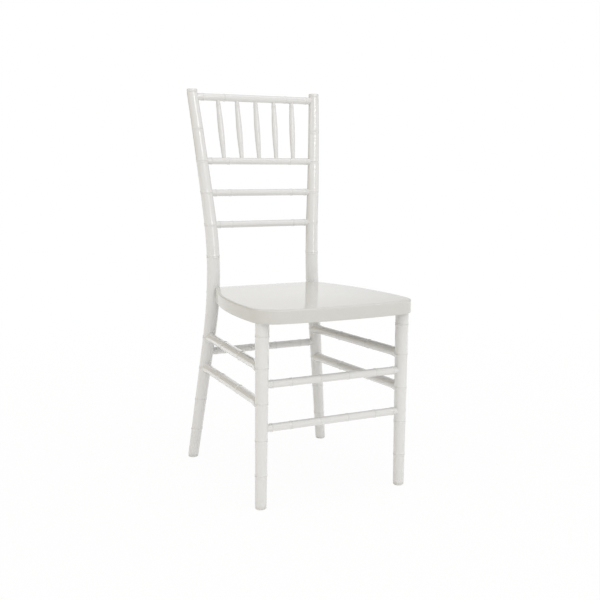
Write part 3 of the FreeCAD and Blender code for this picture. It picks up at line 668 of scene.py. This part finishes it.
class CHAIR_OT_tips(bpy.types.Operator):
    """Turn the post caps and the foot glides"""

    bl_idname = "chair.tips"
    bl_label = "Caps and Glides"

    def execute(self, context):
        sizes = context.scene.chair_sizes
        for word in SIDES:
            self.cap(word, sizes)
            for node in ("foot_glide_rear_" + word, "foot_glide_front_" + word):
                self.glide(node, sizes)
        return {"FINISHED"}

    def cap(self, word, sizes):
        """A cap: a narrow neck, then a drum whose top edge is rounded by an arc."""
        node = "post_cap_" + word
        low, high = box_of(node)
        foot = float(box_of("rear_post_" + word)[1][2])
        middle = (low + high) / 2
        wide, top = (high[0] - low[0]) / 2, high[2]
        turn = np.linspace(0.0, math.pi / 2, CAP_STEPS)
        rounded = np.column_stack([
            wide - CAP_ROUNDING + CAP_ROUNDING * np.cos(turn),
            top - CAP_ROUNDING + CAP_ROUNDING * np.sin(turn),
        ])
        narrow = wide - CAP_NECK
        drum = [(narrow, foot), (narrow, foot + CAP_NECK), (wide, foot + 2 * CAP_NECK)]
        profile = np.vstack([drum, rounded, [(wide * CAP_FLAT, top)]])
        dress(turned_stack(node + "_turned", middle, profile, sizes), "cap_resin", node)

    def glide(self, node, sizes):
        """A glide: a bevel up from the floor, then a drum as wide as the foot."""
        heights, middles, radii = level_sections(node)
        carrier = node.replace("foot_glide_rear", "rear_post").replace("foot_glide_front", "front_leg")
        shown = heights < float(box_of(carrier)[0][2]) + HEIGHT_SLACK
        centres = np.column_stack([middles, heights])[shown]
        piece = tube_mesh(node + "_turned", centres, radii[shown], SIDEWAYS, BACKWARDS,
                          sizes.around, sizes.smooth_angle)
        dress(piece, "glide_plastic", node)


class CHAIR_OT_seat(bpy.types.Operator):
    """Smooth the moulded seat, with its ribs and sockets underneath"""

    bl_idname = "chair.seat"
    bl_label = "Seat"

    def execute(self, context):
        """The CAD solid's triangles, with corners at the same place made one and slivers left out."""
        sizes = context.scene.chair_sizes
        source = frame["nodes"]["seat_shell"].data
        corners = np.empty(len(source.vertices) * 3)
        source.vertices.foreach_get("co", corners)
        unique, index = np.unique(np.round(corners.reshape(-1, 3), 6), axis=0, return_inverse=True)
        looped = np.empty(len(source.loops), int)
        source.loops.foreach_get("vertex_index", looped)
        faces = index.ravel()[looped].reshape(-1, 3)
        whole = (faces != np.roll(faces, 1, axis=1)).all(axis=1)
        piece = put_mesh("seat_moulding", unique.tolist(), faces[whole].tolist(), sizes.smooth_angle)
        dress(piece, "seat_resin", "seat_shell")
        return {"FINISHED"}


class CHAIR_OT_fittings(bpy.types.Operator):
    """Give the bolts, sleeves, screws, covers and every other CAD piece its finish"""

    bl_idname = "chair.fittings"
    bl_label = "Fittings"

    def execute(self, context):
        for entry in frame["record"]["subparts"]:
            node = frame["nodes"][entry["node"]]
            node.data.materials.clear()
            node.data.materials.append(finish_for(entry["material_slot"]))
        return {"FINISHED"}


class CHAIR_OT_stage(bpy.types.Operator):
    """Set up floor, lamps, world and camera"""

    bl_idname = "chair.stage"
    bl_label = "Studio"

    def execute(self, context):
        studio = context.scene.studio_sizes
        self.floor(studio)
        self.world(context.scene, studio)
        self.lamps(studio)
        self.camera(context.scene, studio)
        context.scene.view_settings.view_transform = "Standard"
        return {"FINISHED"}

    def floor(self, studio):
        """A flat white floor that shows as white to the camera, but for the chair's shadow."""
        reach = studio.floor_reach
        corners = [(-reach, -reach, 0), (reach, -reach, 0), (reach, reach, 0), (-reach, reach, 0)]
        piece = put_mesh("studio_floor", corners, [(0, 1, 2, 3)], smooth_angle=0.5)
        material = bpy.data.materials.new("studio_floor_white")
        material.use_nodes = True
        nodes, links = material.node_tree.nodes, material.node_tree.links
        matt = nodes["Principled BSDF"]
        matt.inputs["Base Color"].default_value = (*studio.floor_colour, 1.0)
        matt.inputs["Roughness"].default_value = 0.9
        matt.inputs["Specular IOR Level"].default_value = 0.1
        glow = nodes.new("ShaderNodeEmission")
        glow.inputs["Color"].default_value = (1.0, 1.0, 1.0, 1.0)
        path = nodes.new("ShaderNodeLightPath")
        blend = nodes.new("ShaderNodeMixShader")
        place = nodes.new("ShaderNodeTexCoord")
        away = nodes.new("ShaderNodeVectorMath")
        away.operation = "LENGTH"
        near = nodes.new("ShaderNodeMapRange")
        near.inputs["From Min"].default_value = studio.white_from
        near.inputs["From Max"].default_value = studio.white_to
        near.inputs["To Min"].default_value = studio.white_near
        near.inputs["To Max"].default_value = 1.0
        share = nodes.new("ShaderNodeMath")
        share.operation = "MULTIPLY"
        links.new(place.outputs["Object"], away.inputs[0])
        links.new(away.outputs["Value"], near.inputs["Value"])
        links.new(near.outputs["Result"], share.inputs[1])
        links.new(self.any_of(nodes, links, path, SEEN_RAYS), share.inputs[0])
        links.new(share.outputs["Value"], blend.inputs["Fac"])
        links.new(matt.outputs["BSDF"], blend.inputs[1])
        links.new(glow.outputs["Emission"], blend.inputs[2])
        links.new(blend.outputs["Shader"], nodes["Material Output"].inputs["Surface"])
        piece.data.materials.append(material)

    def world(self, scene, studio):
        """White light, dimmer from two wings behind the chair, from the left and from high up.

        Each ramp reads the cosine between the ray and one axis, and its stops are pairs of a cosine
        and a colour. The ramps are multiplied. Camera rays see plain white, and mirror rays see the
        white backdrop between its two darker wings.
        """
        scene.world = bpy.data.worlds.new("studio_world")
        scene.world.use_nodes = True
        nodes, links = scene.world.node_tree.nodes, scene.world.node_tree.links
        ray = nodes.new("ShaderNodeTexCoord").outputs["Generated"]
        white = (1.0,) * 3
        wing = (studio.wing_level,) * 3
        top = (studio.top_level,) * 3
        overhead = (studio.overhead_level,) * 3
        turn = studio.camera_yaw - studio.backdrop_turn
        rise = studio.backdrop_rise
        sight = (math.sin(turn) * math.cos(rise), math.cos(turn) * math.cos(rise), math.sin(rise))
        behind = ((0.30, white), (0.62, wing), (0.93, wing), (0.988, white))
        room = self.ramp(nodes, links, ray, sight, behind)
        for axis, stops in (
            (LEFT_AXIS, ((0.30, white), (0.80, tuple(studio.left_colour)))),
            (UP_AXIS, ((0.30, white), (0.56, top), (0.86, overhead))),
        ):
            more = self.ramp(nodes, links, ray, axis, stops)
            room = self.mix(nodes, links, "MULTIPLY", None, room, more)
        light = nodes["Background"]
        light.inputs["Strength"].default_value = studio.world_level
        links.new(room, light.inputs["Color"])
        path = nodes.new("ShaderNodeLightPath")
        plain = nodes.new("ShaderNodeRGB").outputs["Color"]
        plain.default_value = (1.0, 1.0, 1.0, 1.0)
        backdrop = nodes.new("ShaderNodeBackground")
        shown = self.mix(nodes, links, "MIX", path.outputs["Is Camera Ray"], room, plain)
        links.new(shown, backdrop.inputs["Color"])
        blend = nodes.new("ShaderNodeMixShader")
        links.new(self.any_of(nodes, links, path, SEEN_RAYS), blend.inputs["Fac"])
        links.new(light.outputs["Background"], blend.inputs[1])
        links.new(backdrop.outputs["Background"], blend.inputs[2])
        links.new(blend.outputs["Shader"], nodes["World Output"].inputs["Surface"])

    def mix(self, nodes, links, kind, factor, first, second):
        """Two colours blended by a factor, or in full where none is given."""
        made = nodes.new("ShaderNodeMix")
        made.data_type, made.blend_type = "RGBA", kind
        made.inputs["Factor"].default_value = 1.0
        if factor:
            links.new(factor, made.inputs["Factor"])
        links.new(first, made.inputs[MIX_FIRST])
        links.new(second, made.inputs[MIX_SECOND])
        return made.outputs[MIX_RESULT]

    def any_of(self, nodes, links, path, kinds):
        """One where the ray is of any of the kinds, else zero."""
        total = path.outputs[kinds[0]]
        for kind in kinds[1:]:
            more = nodes.new("ShaderNodeMath")
            more.operation = "MAXIMUM"
            links.new(total, more.inputs[0])
            links.new(path.outputs[kind], more.inputs[1])
            total = more.outputs["Value"]
        return total

    def ramp(self, nodes, links, ray, axis, stops):
        """Colour stops along the cosine between the ray and an axis."""
        lie = nodes.new("ShaderNodeVectorMath")
        lie.operation = "DOT_PRODUCT"
        lie.inputs[1].default_value = axis
        links.new(ray, lie.inputs[0])
        ramp = nodes.new("ShaderNodeValToRGB")
        links.new(lie.outputs["Value"], ramp.inputs["Fac"])
        elements = ramp.color_ramp.elements
        while len(elements) < len(stops):
            elements.new(0.5)
        for element, (place, colour) in zip(elements, stops):
            element.position = place
            element.color = (*colour, 1.0)
        return ramp.outputs["Color"]

    def lamps(self, studio):
        """Two high softboxes, and a strip light that draws the bright line down the rear posts alone."""
        self.lamp("front_softbox", (0.47, -2.96, 2.35), wide=1.5, tall=1.3, power=studio.front_power)
        self.lamp("left_softbox", (-2.99, -0.21, 2.2), wide=1.2, tall=1.1, power=studio.left_power)
        narrow = {"wide": 0.42, "tall": 1.9, "power": studio.strip_power}
        strip = self.lamp("strip_light", (0.47, -2.96, 1.45), **narrow)
        strip.visible_diffuse = False
        lit = bpy.data.collections.new("lit_by_strip")
        strip.light_linking.receiver_collection = lit
        for piece in bpy.data.objects:
            if piece.name.startswith(POST_NAME):
                lit.objects.link(piece)

    def lamp(self, name, place, wide, tall, power):
        """A rectangular lamp that faces the middle of the chair."""
        light = bpy.data.lights.new(name, "AREA")
        light.shape = "RECTANGLE"
        light.size = wide
        light.size_y = tall
        light.energy = power
        made = bpy.data.objects.new(name, light)
        made.location = place
        aim = Vector((0.0, 0.0, 0.6)) - Vector(place)
        made.rotation_euler = aim.to_track_quat("-Z", "Y").to_euler()
        bpy.context.scene.collection.objects.link(made)
        return made

    def camera(self, scene, studio):
        """The photograph's viewpoint: turned right, tilted down and rolled a touch."""
        sight = bpy.data.cameras.new("photo_camera")
        sight.sensor_width = 36.0
        sight.lens = studio.lens
        sight.clip_end = 60.0
        turn = studio.camera_yaw
        tilt = studio.camera_pitch
        roll = studio.camera_roll
        level = math.cos(tilt)
        ahead = Vector((math.sin(turn) * level, math.cos(turn) * level, -math.sin(tilt)))
        right = Vector((math.cos(turn), -math.sin(turn), 0.0))
        up = right.cross(ahead)
        across = right * math.cos(roll) + up * math.sin(roll)
        upward = up * math.cos(roll) - right * math.sin(roll)
        made = bpy.data.objects.new("photo_camera", sight)
        facing = Matrix((across, upward, -ahead)).transposed().to_4x4()
        made.matrix_world = Matrix.Translation(Vector(studio.camera_place)) @ facing
        scene.collection.objects.link(made)
        scene.camera = made


class CHAIR_PT_build(bpy.types.Panel):
    """Buttons that dress the chair"""

    bl_idname = "CHAIR_PT_build"
    bl_label = "Chiavari Chair"
    bl_space_type = "VIEW_3D"
    bl_region_type = "UI"
    bl_category = "Chair"

    def draw(self, context):
        for operator in OPERATORS:
            self.layout.operator(operator.bl_idname)


OPERATORS = (
    CHAIR_OT_fittings,
    CHAIR_OT_uprights,
    CHAIR_OT_rails,
    CHAIR_OT_side_stretchers,
    CHAIR_OT_spindles,
    CHAIR_OT_tips,
    CHAIR_OT_seat,
    CHAIR_OT_stage,
)
GROUPS = {"chair_sizes": ChairSizes, "chair_colours": ChairColours, "studio_sizes": StudioSizes}


def register():
    """Register every class and hang the property groups on the scene."""
    for kind in (*GROUPS.values(), *OPERATORS, CHAIR_PT_build):
        bpy.utils.register_class(kind)
    for name, kind in GROUPS.items():
        setattr(bpy.types.Scene, name, PointerProperty(type=kind))


def unregister():
    """Take the property groups and classes away again."""
    for name in GROUPS:
        delattr(bpy.types.Scene, name)
    for kind in (CHAIR_PT_build, *reversed(OPERATORS), *reversed(list(GROUPS.values()))):
        bpy.utils.unregister_class(kind)


def main():
    """Dress the whole chair."""
    register()
    for operator in OPERATORS:
        group, word = operator.bl_idname.split(".")
        getattr(getattr(bpy.ops, group), word)()


if __name__ == "__main__":
    main()
